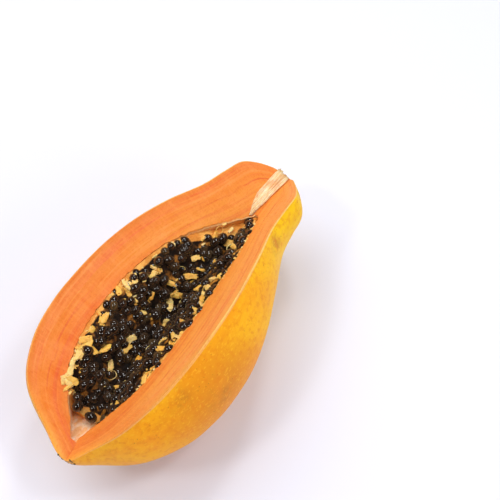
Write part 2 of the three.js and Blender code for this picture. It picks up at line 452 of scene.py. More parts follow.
class NodeTree:
    """Builds the nodes of one material or node group."""

    def __init__(self, tree: bpy.types.NodeTree) -> None:
        """Starts on an empty tree."""
        self.tree = tree
        self.tree.nodes.clear()

    def add(self, kind: str, inputs: Inputs | None = None, **settings: object) -> bpy.types.Node:
        """Adds a node.

        Args:
            kind: The node's kind.
            inputs: What its inputs are linked or set to, by their names or numbers.
            **settings: Its own properties.

        Returns:
            The node.
        """
        node = self.tree.nodes.new(kind)
        for key, value in settings.items():
            setattr(node, key, value)
        for key, value in (inputs or {}).items():
            self.put(node.inputs[key], value)
        return node

    def put(self, socket: Socket, value: object) -> None:
        """Links a socket to another, or sets its value."""
        if isinstance(value, Socket):
            self.tree.links.new(value, socket)
        elif value is not None:
            socket.default_value = value

    def object_place(self) -> Socket:
        """Returns the place on the object, in metres."""
        return self.add("ShaderNodeTexCoord").outputs["Object"]

    def attribute(self, name: str, output: str = "Fac") -> Socket:
        """Returns a value stored on the mesh."""
        return self.add("ShaderNodeAttribute", attribute_name=name).outputs[output]

    def scaled(self, place: Socket, scale: Triple) -> Socket:
        """Returns a place stretched by a scale along each axis."""
        return self.add("ShaderNodeVectorMath", {0: place, 1: scale}, operation="MULTIPLY").outputs[0]

    def distance(self, place: Socket, point: Triple) -> Socket:
        """Returns how far a place is from a point, in metres."""
        node = self.add("ShaderNodeVectorMath", {0: place, 1: point}, operation="DISTANCE")
        return node.outputs["Value"]

    def axis(self, place: Socket, letter: str) -> Socket:
        """Returns one coordinate of a place."""
        return self.add("ShaderNodeSeparateXYZ", {0: place}).outputs[letter]

    def noise(self, place: Socket, scale: Socket | float, detail: float = 3, rough: float = 0.5,
              distortion: float = 0) -> Socket:
        """Returns noise with a number of bumps per unit of the place."""
        inputs = {"Vector": place, "Scale": scale, "Detail": detail, "Roughness": rough,
                  "Distortion": distortion}
        return self.add("ShaderNodeTexNoise", inputs).outputs["Fac"]

    def cells(self, place: Socket, scale: float) -> Socket:
        """Returns the distance to the middle of the nearest cell."""
        return self.add("ShaderNodeTexVoronoi", {"Vector": place, "Scale": scale}).outputs["Distance"]

    def between(self, value: Socket, low: float, high: float, to_low: float = 0,
                to_high: float = 1) -> Socket:
        """Maps a range onto another, smoothly and without passing its ends."""
        inputs = {"Value": value, "From Min": low, "From Max": high, "To Min": to_low, "To Max": to_high}
        return self.add("ShaderNodeMapRange", inputs, interpolation_type="SMOOTHSTEP").outputs["Result"]

    def math(self, operation: str, first: object, second: object = None) -> Socket:
        """Returns two numbers combined by an operation."""
        return self.add("ShaderNodeMath", {0: first, 1: second}, operation=operation).outputs[0]

    def times(self, first: object, second: object) -> Socket:
        """Returns two numbers multiplied."""
        return self.math("MULTIPLY", first, second)

    def plus(self, first: object, second: object) -> Socket:
        """Returns two numbers added."""
        return self.math("ADD", first, second)

    def blend(self, share: object, first: object, second: object) -> Socket:
        """Returns two colours blended by a share."""
        inputs = {"Factor": share, 6: first, 7: second}
        return self.add("ShaderNodeMix", inputs, data_type="RGBA").outputs[2]

    def tint(self, under: Socket, over: Steps, share: Socket, strength: float | None = None) -> Socket:
        """Lays a colour over another.

        Args:
            under: The colour below.
            over: The colour on top, in display steps.
            share: How much of it shows.
            strength: What the share is multiplied by, if by anything.

        Returns:
            The blended colour.
        """
        if strength is not None:
            share = self.times(share, strength)
        return self.blend(share, under, srgb(*over))

    def ramp(self, value: Socket, stops: Ramp) -> Socket:
        """Returns a colour that runs through stops as a value goes from 0 to 1."""
        node = self.add("ShaderNodeValToRGB", {"Fac": value})
        elements = node.color_ramp.elements
        while len(elements) < len(stops):
            elements.new(1.0)
        for element, (position, steps) in zip(elements, stops):
            element.position = position
            element.color = srgb(*steps)
        return node.outputs["Color"]

    def bump(self, height: Socket, depth: float, strength: float = 1) -> Socket:
        """Returns a normal that a height of some depth in metres gives."""
        inputs = {"Height": height, "Distance": depth, "Strength": strength}
        return self.add("ShaderNodeBump", inputs).outputs["Normal"]


class Effects:
    """Node groups that more than one material uses."""

    def __init__(self) -> None:
        """Builds the groups."""
        self.moist_grain = self.make_moist_grain()

    def make_moist_grain(self) -> bpy.types.NodeTree:
        """Builds the uneven grain of moist plant tissue: a mask for tone and a height for bump."""
        tree = bpy.data.node_groups.new("MoistGrain", "ShaderNodeTree")
        for name, way, kind in (("Place", "INPUT", "Vector"), ("Grain", "INPUT", "Float"),
                                ("Tone", "OUTPUT", "Float"), ("Height", "OUTPUT", "Float")):
            tree.interface.new_socket(name, in_out=way, socket_type="NodeSocket" + kind)
        nodes = NodeTree(tree)
        entry = nodes.add("NodeGroupInput").outputs
        fine = nodes.noise(entry["Place"], entry["Grain"], 4)
        coarse = nodes.noise(entry["Place"], nodes.times(entry["Grain"], 0.22), 3)
        height = nodes.plus(fine, nodes.times(coarse, 1.6))
        nodes.add("NodeGroupOutput", {"Tone": nodes.between(coarse, 0.3, 0.7), "Height": height})
        return tree

    def grain(self, nodes: NodeTree, place: Socket, grain: float) -> bpy.types.NodeOutputs:
        """Places the moist grain in a material, with its own fineness, and returns its outputs."""
        inputs = {"Place": place, "Grain": grain}
        return nodes.add("ShaderNodeGroup", inputs, node_tree=self.moist_grain).outputs


@dataclass(frozen=True)
class Finish:
    """What every finish shares: its shader's plain values, and how its material is made.

    Colours are in display steps. Places and distances on the object are in metres.
    """

    name: str
    roughness: float = 0.5
    coat: float = 0.0
    coat_roughness: float = 0.1
    coat_index: float = 1.5
    subsurface: float = 0.0
    subsurface_depth: float = 0.003
    subsurface_spread: Triple = (1.0, 0.45, 0.15)
    specular: float = 0.5

    def make(self, effects: Effects) -> Material:
        """Builds the material."""
        material = bpy.data.materials.new(self.name)
        material.use_nodes = True
        nodes = NodeTree(material.node_tree)
        shader = nodes.add("ShaderNodeBsdfPrincipled", {
            "Roughness": self.roughness,
            "Coat Weight": self.coat,
            "Coat Roughness": self.coat_roughness,
            "Coat IOR": self.coat_index,
            "Specular IOR Level": self.specular,
            "Subsurface Weight": self.subsurface,
            "Subsurface Scale": self.subsurface_depth,
            "Subsurface Radius": self.subsurface_spread,
        })
        nodes.add("ShaderNodeOutputMaterial", {"Surface": shader.outputs["BSDF"]})
        for name, value in self.paint(nodes, effects).items():
            nodes.put(shader.inputs[name], value)
        return material

    def paint(self, nodes: NodeTree, effects: Effects) -> Inputs:
        """Returns what the shader's inputs take beside the plain values."""
        raise NotImplementedError


@dataclass(frozen=True)
class SkinFinish(Finish):
    """Waxy skin, orange on the belly and yellow on the neck, with bruises and specks."""

    name: str = "papaya_skin"
    roughness: float = 0.46
    subsurface: float = 0.05
    specular: float = 0.16
    ripe: Ramp = ((0.0, (238, 138, 14)), (0.45, (245, 160, 16)), (1.0, (250, 182, 20)))
    neck: Steps = (247, 194, 8)
    tip: Steps = (254, 176, 52)
    # Paler colour painted low on the skin: painted light for the shaded underside.
    underside: Steps = (250, 176, 60)
    unripe: Steps = (214, 178, 46)
    streak: Steps = (224, 118, 14)
    ruddy: Steps = (220, 132, 24)
    smudge: Steps = (190, 112, 26)
    dried: Steps = (140, 106, 44)
    mottle: Steps = (224, 124, 14)
    fleck: Steps = (255, 204, 56)
    speck: Steps = (140, 84, 22)
    pore: Steps = (250, 188, 46)
    smudges: tuple[tuple[Triple, float], ...] = (
        ((-0.040, -0.0505, 0.068), 0.017),
        ((-0.060, -0.0400, 0.083), 0.011),
        ((0.0546, -0.0388, 0.071), 0.010),
    )
    ruddy_middle: Triple = (-0.042, -0.052, 0.066)
    blossom: Triple = (-0.1112, 0.0044, 0.0548)

    def paint(self, nodes: NodeTree, effects: Effects) -> Inputs:
        """Draws the colour, the roughness and the fine bumps."""
        place = nodes.object_place()
        z = nodes.axis(place, "Z")
        clouds = nodes.noise(place, 24, 4, 0.55, 0.3)
        uneven_x = nodes.plus(nodes.axis(place, "X"), nodes.times(clouds, 0.05))
        colour = nodes.ramp(nodes.between(clouds, 0.25, 0.75), self.ripe)
        colour = nodes.tint(colour, self.neck, nodes.between(uneven_x, 0.01, 0.09))
        by_tip = nodes.between(uneven_x, -0.05, -0.1)
        colour = nodes.tint(colour, self.tip, by_tip, 0.6)
        # Painted light: the skin is painted paler towards the floor, lifting the underside that lies in
        # shade.
        colour = nodes.tint(colour, self.underside, nodes.between(z, 0.03, 0.004), 0.35)
        unripe = nodes.times(by_tip, nodes.between(z, 0.03, 0.012))
        colour = nodes.tint(colour, self.unripe, unripe, 0.25)
        streaks = nodes.noise(nodes.scaled(place, (0.12, 1, 1)), 150, 4, 0.6)
        colour = nodes.tint(colour, self.streak, nodes.between(streaks, 0.45, 0.72, 0, 0.32))
        ruddy = nodes.between(nodes.distance(place, self.ruddy_middle), 0.05, 0.012)
        ruddy = nodes.times(ruddy, nodes.between(clouds, 0.2, 0.6, 0.4, 0.8))
        colour = nodes.tint(colour, self.ruddy, ruddy)
        blotches = nodes.between(nodes.noise(place, 90, 5, 0.7), 0.35, 0.65)
        for middle, reach in self.smudges:
            smudge = nodes.between(nodes.distance(place, middle), reach, 0.002)
            colour = nodes.tint(colour, self.smudge, nodes.times(smudge, blotches), 0.75)
        dried = nodes.between(nodes.distance(place, self.blossom), 0.0075, 0.003)
        dried = nodes.times(dried, nodes.between(nodes.noise(place, 420), 0.38, 0.6))
        colour = nodes.tint(colour, self.dried, dried, 0.55)
        mottle = nodes.noise(place, 330, 3, 0.6)
        colour = nodes.tint(colour, self.mottle, nodes.between(mottle, 0.48, 0.66, 0, 0.45))
        flecks = nodes.noise(nodes.scaled(place, (0.45, 1, 1)), 900, 2)
        colour = nodes.tint(colour, self.fleck, nodes.between(flecks, 0.56, 0.68, 0, 0.3))
        sparse = nodes.between(nodes.noise(place, 60, 2), 0.45, 0.62)
        specks = nodes.times(nodes.between(nodes.cells(place, 330), 0.13, 0.07), sparse)
        colour = nodes.tint(colour, self.speck, specks, 0.55)
        pores = nodes.between(nodes.cells(place, 900), 0.25, 0.1, 0, 0.16)
        grain = effects.grain(nodes, place, 420)
        return {
            "Base Color": nodes.tint(colour, self.pore, pores),
            "Roughness": nodes.between(clouds, 0.3, 0.7, 0.42, 0.56),
            "Normal": nodes.bump(grain["Height"], 0.00018, 0.5),
        }


@dataclass(frozen=True)
class FleshFinish(Finish):
    """Moist flesh: a pale line under the skin, salmon, and deeper orange near the cavity.

    On the mesh, cut_place holds the place along the fruit, the depth under the skin, both in
    millimetres, and the share of the way down the cavity wall, which is -1 on the near face.
    """

    name: str = "papaya_flesh"
    roughness: float = 0.45
    coat: float = 0.05
    coat_roughness: float = 0.3
    subsurface: float = 0.07
    specular: float = 0.3
    flesh_depth: float = 34.0
    far_tip: Ramp = (
        (0.0, (226, 128, 44)), (0.1, (223, 114, 38)), (0.3, (227, 120, 28)),
        (0.45, (230, 122, 22)), (0.6, (227, 100, 12)), (0.8, (226, 122, 32)),
    )
    far_stem: Ramp = (
        (0.0, (223, 120, 42)), (0.15, (226, 124, 42)), (0.35, (230, 134, 38)),
        (0.6, (233, 146, 50)), (1.0, (230, 138, 40)),
    )
    # Paler and pinker than the far ramps: painted light for how the near face is lit.
    near: Ramp = (
        (0.0, (240, 164, 72)), (0.2, (239, 153, 76)), (0.4, (243, 160, 72)),
        (0.65, (240, 148, 54)), (1.0, (234, 138, 44)),
    )
    near_tip: Steps = (230, 124, 46)
    dark_band: Steps = (224, 92, 44)
    pale_band: Steps = (244, 156, 80)
    vein: Steps = (214, 82, 20)
    veins: tuple[Triple, ...] = ((14.5, 1.0, 0.6), (5.5, 0.6, 0.35), (20.5, 0.7, 0.35))
    fibre: Steps = (250, 158, 74)
    rind: Steps = (250, 206, 112)
    golden: Steps = (246, 178, 70)
    hollow_dark: Steps = (224, 140, 50)
    hollow_light: Steps = (240, 170, 84)
    hollow_streak: Steps = (248, 206, 134)
    # The blossom end's pale tissue, painted paler still: painted light against the shade in the hollow.
    pale_end_and_painted_light: Steps = (246, 184, 124)
    white_streak: Steps = (255, 232, 204)
    # Pale paint for the shaded top of the wall under the rim: painted light.
    painted_light_lip: Steps = (255, 210, 146)
    pale_grain: Steps = (244, 160, 84)
    speck: Steps = (218, 96, 22)

    def paint(self, nodes: NodeTree, effects: Effects) -> Inputs:
        """Draws the colour, the roughness and the fine bumps."""
        place = nodes.object_place()
        cut_place = nodes.attribute("cut_place", "Vector")
        along, depth, wall = (nodes.axis(cut_place, letter) for letter in "XYZ")
        wander = nodes.noise(place, 55)
        uneven = nodes.plus(depth, nodes.times(nodes.math("SUBTRACT", wander, 0.5), 7))
        on_near = nodes.between(wall, -0.2, -0.8)
        inner = self.paint_cuts(nodes, along, uneven, on_near)
        bands = nodes.noise(nodes.scaled(cut_place, (0.03, 1, 1)), 0.42, 4, 0.6, 0.4)
        inner = nodes.tint(inner, self.dark_band, nodes.between(bands, 0.5, 0.64, 0, 0.6))
        inner = nodes.tint(inner, self.pale_band, nodes.between(bands, 0.46, 0.34, 0, 0.45))
        for middle, thickness, strength in self.veins:
            vein = nodes.math("ABSOLUTE", nodes.math("SUBTRACT", uneven, middle))
            vein = nodes.times(nodes.between(vein, thickness, 0.1), nodes.between(bands, 0.4, 0.6))
            inner = nodes.tint(inner, self.vein, vein, strength)
        fibres = nodes.noise(nodes.scaled(cut_place, (1, 0.14, 1)), 0.6, 4, 0.6)
        inner = nodes.tint(inner, self.fibre, nodes.between(fibres, 0.4, 0.75, 0, 0.3))
        on_far_rind = nodes.between(along, 120, 170, 0.55, 1)
        rind = nodes.blend(on_near, on_far_rind, nodes.between(along, 55, 110, 0.15, 0.95))
        rind = nodes.times(nodes.between(depth, 0.95, 0.35), rind)
        colour = nodes.tint(inner, self.rind, rind)
        golden = nodes.times(nodes.between(along, 30, 4), nodes.between(depth, 12, 1))
        colour = nodes.tint(colour, self.golden, golden, 0.8)
        hollow = self.paint_hollow(nodes, place, along, wall, wander)
        colour = nodes.blend(nodes.between(wall, 0, 0.05), colour, hollow)
        grain = effects.grain(nodes, place, 620)
        colour = nodes.tint(colour, self.pale_grain, grain["Tone"], 0.2)
        specks = nodes.noise(nodes.scaled(place, (0.5, 1, 1)), 1300, 2)
        height = nodes.plus(grain["Height"], nodes.times(fibres, 1.4))
        return {
            "Base Color": nodes.tint(colour, self.speck, nodes.between(specks, 0.52, 0.66, 0, 0.3)),
            "Roughness": nodes.between(wander, 0.3, 0.7, 0.36, 0.52),
            "Normal": nodes.bump(height, 0.0003, 0.6),
        }

    def paint_cuts(self, nodes: NodeTree, along: Socket, uneven: Socket, on_near: Socket) -> Socket:
        """Draws how the flesh changes from the skin inwards, on each of the two cut faces. The near face
        takes a paler, pinker ramp than the far face: painted light, one flesh painted for how each face
        is lit.

        Args:
            nodes: The material's nodes.
            along: Place along the fruit.
            uneven: Depth under the skin, made a little uneven.
            on_near: 1 on the near face and 0 on the far one.

        Returns:
            The colour.
        """
        share = nodes.math("DIVIDE", uneven, self.flesh_depth)
        far = nodes.blend(nodes.between(along, 55, 165), nodes.ramp(share, self.far_tip),
                          nodes.ramp(share, self.far_stem))
        # Painted light: the near face takes a paler, pinker ramp than the far face; the change from skin
        # to cavity is the flesh's own.
        near = nodes.tint(nodes.ramp(share, self.near), self.near_tip, nodes.between(along, 60, 20), 0.7)
        return nodes.blend(on_near, far, near)

    def paint_hollow(self, nodes: NodeTree, place: Socket, along: Socket, wall: Socket,
                     wander: Socket) -> Socket:
        """Draws the bare wall of the cavity, pale and streaked at the blossom end. The blossom end is
        painted paler still, and the top of the wall under the rim is painted pale: painted light against
        the shade in the hollow.

        Args:
            nodes: The material's nodes.
            place: Place on the object.
            along: Place along the fruit.
            wall: Share of the way down the wall.
            wander: Soft noise.

        Returns:
            The colour.
        """
        pale_end = nodes.between(along, 46, 20)
        streaks = nodes.noise(nodes.scaled(place, (0.16, 1, 1)), 330, 2)
        hollow = nodes.blend(nodes.between(wander, 0.35, 0.65), srgb(*self.hollow_dark),
                             srgb(*self.hollow_light))
        hollow = nodes.tint(hollow, self.hollow_streak, nodes.between(streaks, 0.45, 0.6, 0, 0.5))
        # The blossom end of the cavity is pale tissue, painted paler still as painted light against the
        # shade there.
        hollow = nodes.tint(hollow, self.pale_end_and_painted_light, pale_end)
        white = nodes.times(pale_end, nodes.between(streaks, 0.42, 0.68, 0, 0.8))
        hollow = nodes.tint(hollow, self.white_streak, white)
        # Painted light: the top of the wall, just under the rim, lies in shade and is painted pale.
        return nodes.tint(hollow, self.painted_light_lip, nodes.between(wall, 0.2, 0.06), 0.8)


@dataclass(frozen=True)
class SeedFinish(Finish):
    """Black-brown seeds in clear wet coats, some of them olive, with a paler rim painted where each seed
    turns away from view: painted sheen for the coats. On the mesh, tone is each seed's.
    """

    name: str = "papaya_seed"
    roughness: float = 0.3
    coat: float = 1.0
    coat_roughness: float = 0.03
    coat_index: float = 1.8
    specular: float = 0.1
    tones: Ramp = ((0.0, (20, 11, 9)), (0.6, (34, 20, 15)), (0.85, (54, 38, 22)), (1.0, (80, 62, 34)))
    mottle: Steps = (48, 32, 16)
    # Colour of the painted sheen on the seeds' rims.
    rim: Steps = (122, 96, 74)

    def paint(self, nodes: NodeTree, effects: Effects) -> Inputs:
        """Draws the colour, with a painted sheen on the rims, the roughness and the wrinkles."""
        place = nodes.object_place()
        grain = effects.grain(nodes, place, 700)
        colour = nodes.ramp(nodes.attribute("tone"), self.tones)
        colour = nodes.tint(colour, self.mottle, grain["Tone"], 0.35)
        # Painted sheen: a paler, greyish rim where each seed turns away from view, standing in for light
        # through the clear coats.
        rim = nodes.add("ShaderNodeLayerWeight", {"Blend": 0.35}).outputs["Facing"]
        height = nodes.plus(grain["Height"], nodes.times(nodes.cells(place, 620), 1.5))
        return {
            "Base Color": nodes.tint(colour, self.rim, rim, 0.42),
            "Roughness": nodes.between(grain["Tone"], 0, 1, 0.22, 0.4),
            "Normal": nodes.bump(height, 0.0004, 0.5),
        }


@dataclass(frozen=True)
class BedFinish(Finish):
    """The wet bed between and below the seeds, painted near black as painted shade for the gaps between
    them, and orange towards the walls.

    On the mesh, by_wall is 1 at the cavity's wall and 0 away from it.
    """

    name: str = "seed_bed"
    roughness: float = 0.55
    specular: float = 0.2
    # Near black at its darkest: painted shade for the gaps between the seeds.
    shade_dark_membrane: Ramp = (
        (0.0, (16, 9, 5)), (0.55, (40, 22, 10)), (0.8, (140, 88, 30)), (1.0, (206, 142, 58)),
    )
    lining_dark: Steps = (214, 132, 48)
    lining_light: Steps = (240, 178, 88)

    def paint(self, nodes: NodeTree, effects: Effects) -> Inputs:
        """Draws the colour and the bumps."""
        place = nodes.object_place()
        clouds = nodes.noise(place, 130, 4, 0.6)
        # Painted shade: the bed is painted near black so that the gaps between the seeds read as shade.
        colour = nodes.ramp(nodes.between(clouds, 0.3, 0.72), self.shade_dark_membrane)
        by_wall = nodes.plus(nodes.attribute("by_wall"), nodes.times(clouds, 0.5))
        lining = nodes.blend(nodes.between(clouds, 0.35, 0.65), srgb(*self.lining_dark),
                             srgb(*self.lining_light))
        grain = effects.grain(nodes, place, 500)
        return {
            "Base Color": nodes.blend(nodes.between(by_wall, 0.6, 0.85), colour, lining),
            "Normal": nodes.bump(grain["Height"], 0.0006, 0.8),
        }


@dataclass(frozen=True)
class PulpFinish(Finish):
    """Torn pulp, yellow-orange and paler where it is thin. On the mesh, tone is each scrap's."""

    name: str = "seed_pulp"
    coat: float = 0.15
    coat_roughness: float = 0.3
    subsurface: float = 0.25
    tones: Ramp = ((0.0, (240, 164, 58)), (0.5, (250, 192, 88)), (1.0, (252, 220, 146)))
    blotch: Steps = (230, 144, 44)

    def paint(self, nodes: NodeTree, effects: Effects) -> Inputs:
        """Draws the colour and the bumps."""
        place = nodes.object_place()
        colour = nodes.ramp(nodes.attribute("tone"), self.tones)
        blotches = nodes.between(nodes.noise(place, 240, 4, 0.6), 0.5, 0.75, 0, 0.5)
        grain = effects.grain(nodes, place, 800)
        return {
            "Base Color": nodes.tint(colour, self.blotch, blotches),
            "Normal": nodes.bump(grain["Height"], 0.0005, 0.8),
        }


@dataclass(frozen=True)
class WoodyFinish(Finish):
    """Pale, fibrous strand of the stem, browner at its dry end.

    On the mesh, fibre_place runs along the fibres, in millimetres.
    """

    name: str = "woody_strand"
    roughness: float = 0.7
    subsurface: float = 0.1
    wood: Ramp = ((0.0, (240, 182, 112)), (0.4, (252, 224, 166)), (1.0, (255, 248, 220)))
    groove: Steps = (216, 148, 80)
    flush: Steps = (244, 160, 88)
    dry: Steps = (170, 128, 66)
    dry_stretch: tuple[float, float] = (0.104, 0.1115)

    def paint(self, nodes: NodeTree, effects: Effects) -> Inputs:
        """Draws the colour and the fibres."""
        place = nodes.object_place()
        fibre_place = nodes.scaled(nodes.attribute("fibre_place", "Vector"), (0.06, 1, 1))
        fibres = nodes.noise(fibre_place, 2.2, 5, 0.65)
        colour = nodes.ramp(nodes.between(fibres, 0.3, 0.7), self.wood)
        grooves = nodes.noise(fibre_place, 0.8, 2, 0.5, 0.3)
        colour = nodes.tint(colour, self.groove, nodes.between(grooves, 0.5, 0.62, 0, 0.55))
        flushed = nodes.between(nodes.noise(place, 120), 0.48, 0.66, 0, 0.45)
        colour = nodes.tint(colour, self.flush, flushed)
        dry = nodes.between(nodes.axis(place, "X"), *self.dry_stretch)
        return {
            "Base Color": nodes.tint(colour, self.dry, dry, 0.6),
            "Normal": nodes.bump(fibres, 0.0005),
        }


@dataclass(frozen=True)
class ScarFinish(Finish):
    """Dried, near-black remains of the blossom."""

    name: str = "blossom_scar"
    roughness: float = 0.8
    dark: Steps = (40, 34, 18)
    light: Steps = (104, 88, 40)

    def paint(self, nodes: NodeTree, effects: Effects) -> Inputs:
        """Draws the colour and the bumps."""
        grain = effects.grain(nodes, nodes.object_place(), 900)
        return {
            "Base Color": nodes.blend(grain["Tone"], srgb(*self.dark), srgb(*self.light)),
            "Normal": nodes.bump(grain["Height"], 0.0006, 0.9),
        }


@dataclass(frozen=True)
class FloorFinish(Finish):
    """Plain pale studio floor."""

    name: str = "studio_floor"
    roughness: float = 0.9
    specular: float = 0.1
    pale: Steps = (231, 232, 242)

    def paint(self, nodes: NodeTree, effects: Effects) -> Inputs:
        """Gives the floor its one colour."""
        return {"Base Color": srgb(*self.pale)}


def dress(piece: Piece, material: Material) -> None:
    """Gives a piece one material."""
    piece.data.materials.clear()
    piece.data.materials.append(material)


def shade_smooth(piece: Piece, angle: float = 40) -> None:
    """Shades a piece smooth, apart from edges sharper than an angle in degrees."""
    select_only(piece)
    bpy.ops.object.shade_smooth_by_angle(angle=math.radians(angle))


class Stretch(Enum):
    """The stretches of one ring of the fruit, from the underside over the cuts and back."""

    FAR_SKIN = 1
    FAR_FACE = 2
    WALL = 3
    NEAR_FACE = 4
    NEAR_SKIN = 5


@dataclass
class FruitBody:
    """Skin, flesh, cut faces and cavity wall: one skin-tight mesh in rings along the fruit."""

    form: FruitForm
    rings: int = 290
    far_skin_columns: int = 70
    near_skin_columns: int = 80
    cut_columns: int = 34
    wall_columns: int = 56
    face_width: float = 26.0
    rind_columns: tuple[float, ...] = (0.0, 0.35, 0.75, 1.15, 1.7)
    last_but_one_column: float = 0.97
    skin_sag: float = 0.5
    full_sag_radius: float = 20.0
    cut_waviness: float = 0.35
    level_by_skin: float = 3.0
    level_by_core: float = 6.0
    smear_depth: float = 8.5
    smear_width: float = 1.1
    smear_height: float = 0.3
    rim_raggedness: float = 0.75
    rim_nibbles: float = 0.5
    least_rim: float = 0.2
    rim_grip: int = 10
    ledge: float = 1.5
    ledge_share: float = 0.1
    full_ledge_radius: float = 10.0
    wall_depth: float = 30.0

    def column_plan(self) -> list[tuple[Stretch, np.ndarray]]:
        """Lists the stretches of one ring, each with its columns as shares from 0 to 1."""
        by_rind = np.array(self.rind_columns) / self.face_width
        even = np.linspace(by_rind[-1], self.last_but_one_column, self.cut_columns - len(by_rind) - 1)
        face = np.concatenate([by_rind, even[1:], [1.0]])
        return [
            (Stretch.FAR_SKIN, np.linspace(0, 1, self.far_skin_columns)),
            (Stretch.FAR_FACE, face[1:]),
            (Stretch.WALL, np.linspace(0, 1, self.wall_columns)[1:]),
            (Stretch.NEAR_FACE, (1 - face[::-1])[1:]),
            (Stretch.NEAR_SKIN, np.linspace(0, 1, self.near_skin_columns)[1:]),
        ]

    def ragged_rims(self, x: np.ndarray) -> list[np.ndarray]:
        """Returns the distance from the core of the far and the near rim, a little torn, or 0."""
        form = self.form
        line = np.stack([x, x * 0, x * 0], axis=1)
        torn = self.rim_raggedness * roughen(line, 0.35, 21.0)
        torn = torn + self.rim_nibbles * roughen(line, 0.8, 4.0)
        rims = ((form.rim(x, form.far_cut), torn), (form.rim(x, form.near_cut), torn[::-1]))
        return [np.where(rim > 0, np.maximum(rim + tear, self.least_rim), 0) for rim, tear in rims]

    def skin_column(self, x: np.ndarray, side: Side, share: float) -> np.ndarray:
        """Lays one column of the skin.

        Args:
            x: Places of the rings.
            side: The side that the column is on.
            share: Far: from the underside to the cut. Near: from the cut to the underside.

        Returns:
            The points.
        """
        form = self.form
        cut = form.cut(side)
        middle = form.skin_shift(x)
        reach = form.skin_reach(x, cut)
        edge = np.arctan2(reach * math.sin(cut) - middle, reach * math.cos(cut))
        start, stop = (math.pi, edge) if side is Side.FAR else (edge, -math.pi)
        angle = start + (stop - start) * share
        radius = form.skin_radius(x, angle)
        points = np.stack([x, middle + radius * np.sin(angle), radius * np.cos(angle)], axis=1)
        dents = self.skin_sag * (0.5 + 0.5 * roughen(points, 0.035, 1.7))
        dents = dents * np.clip(radius / self.full_sag_radius, 0, 1)
        points[:, 1] -= dents * np.sin(angle)
        points[:, 2] -= dents * np.cos(angle)
        return points

    def face_column(self, x: np.ndarray, side: Side, inward: float,
                    rim: np.ndarray) -> tuple[np.ndarray, np.ndarray]:
        """Lays one column of a cut face.

        Args:
            x: Places of the rings.
            side: Which cut.
            inward: Share of the way from the skin to the rim.
            rim: Distance of the rim from the core, for each ring.

        Returns:
            The points, and their depth under the skin.
        """
        cut = self.form.cut(side)
        outer = self.form.skin_reach(x, cut)
        reach = outer + (rim - outer) * inward
        depth = outer - reach
        across = np.stack([x, reach * math.sin(cut), reach * math.cos(cut)], axis=1)
        normal = np.array([0, -math.cos(cut), math.sin(cut)]) * side.value
        free = np.clip(depth / self.level_by_skin, 0, 1) * np.clip(reach / self.level_by_core, 0, 1)
        wave = self.cut_waviness * roughen(across, 0.05, 3.1 * side.value)
        smear = self.smear_height * np.exp(-(((depth - self.smear_depth) / self.smear_width) ** 2))
        smear *= 0.5 + 0.5 * roughen(across, 0.03, 9.7)
        lift = (wave - self.cut_waviness + smear) * free
        return across + lift[:, None] * normal, depth

    def wall_column(self, x: np.ndarray, share: float, far_rim: np.ndarray,
                    near_rim: np.ndarray) -> tuple[np.ndarray, np.ndarray]:
        """Lays one column of the cavity's wall.

        Args:
            x: Places of the rings.
            share: Share of the way from the far rim down and up to the near one.
            far_rim: Distance of the far rim from the core.
            near_rim: Distance of the near rim from the core.

        Returns:
            The points, and how far down the wall they are as a share.
        """
        form = self.form
        shift = form.cavity_shift(x)
        far = self.face_column(x, Side.FAR, 1, far_rim)[0]
        near = self.face_column(x, Side.NEAR, 1, near_rim)[0]
        far_angle = np.arctan2(far[:, 1] - shift, far[:, 2])
        near_angle = np.arctan2(near[:, 1] - shift, near[:, 2])
        near_angle = np.where(near_angle > 0, near_angle, near_angle + 2 * math.pi)
        angle = far_angle + (near_angle - far_angle) * share
        end = far if share < 0.5 else near
        closeness = abs(2 * share - 1) ** self.rim_grip
        radius = form.cavity_radius(x, angle) * (1 - closeness)
        radius = radius + np.hypot(end[:, 1] - shift, end[:, 2]) * closeness
        ledge = self.ledge * max(1 - min(share, 1 - share) / self.ledge_share, 0)
        radius = radius - ledge * np.clip(radius / self.full_ledge_radius, 0, 1)
        points = np.stack([x, shift + radius * np.sin(angle), radius * np.cos(angle)], axis=1)
        lowest = np.minimum(form.end_floor(x), np.minimum(far[:, 2], near[:, 2]))
        points[:, 2] = np.maximum(points[:, 2], lowest)
        solid = (far_rim <= 0) & (near_rim <= 0)
        points[solid] = far[solid]
        return points, np.where(solid, 0, math.sin(math.pi * share))

    def column(self, stretch: Stretch, share: float, x: np.ndarray,
               rims: list[np.ndarray]) -> tuple[np.ndarray, np.ndarray, bool]:
        """Lays one column of the grid.

        Args:
            stretch: The stretch that the column belongs to.
            share: Place in the stretch.
            x: Places of the rings.
            rims: Distance of the far and the near rim from the core.

        Returns:
            The points, what the flesh finish reads there, and whether it is skin.
        """
        if stretch in (Stretch.FAR_SKIN, Stretch.NEAR_SKIN):
            side = Side.FAR if stretch is Stretch.FAR_SKIN else Side.NEAR
            return self.skin_column(x, side, share), np.stack([x, x * 0, x * 0], axis=1), True
        if stretch is Stretch.FAR_FACE:
            points, depth = self.face_column(x, Side.FAR, share, rims[0])
            return points, np.stack([x, depth, x * 0], axis=1), False
        if stretch is Stretch.NEAR_FACE:
            points, depth = self.face_column(x, Side.NEAR, 1 - share, rims[1])
            return points, np.stack([x, depth, x * 0 - 1], axis=1), False
        points, down = self.wall_column(x, share, *rims)
        return points, np.stack([x, x * 0 + self.wall_depth, down], axis=1), False

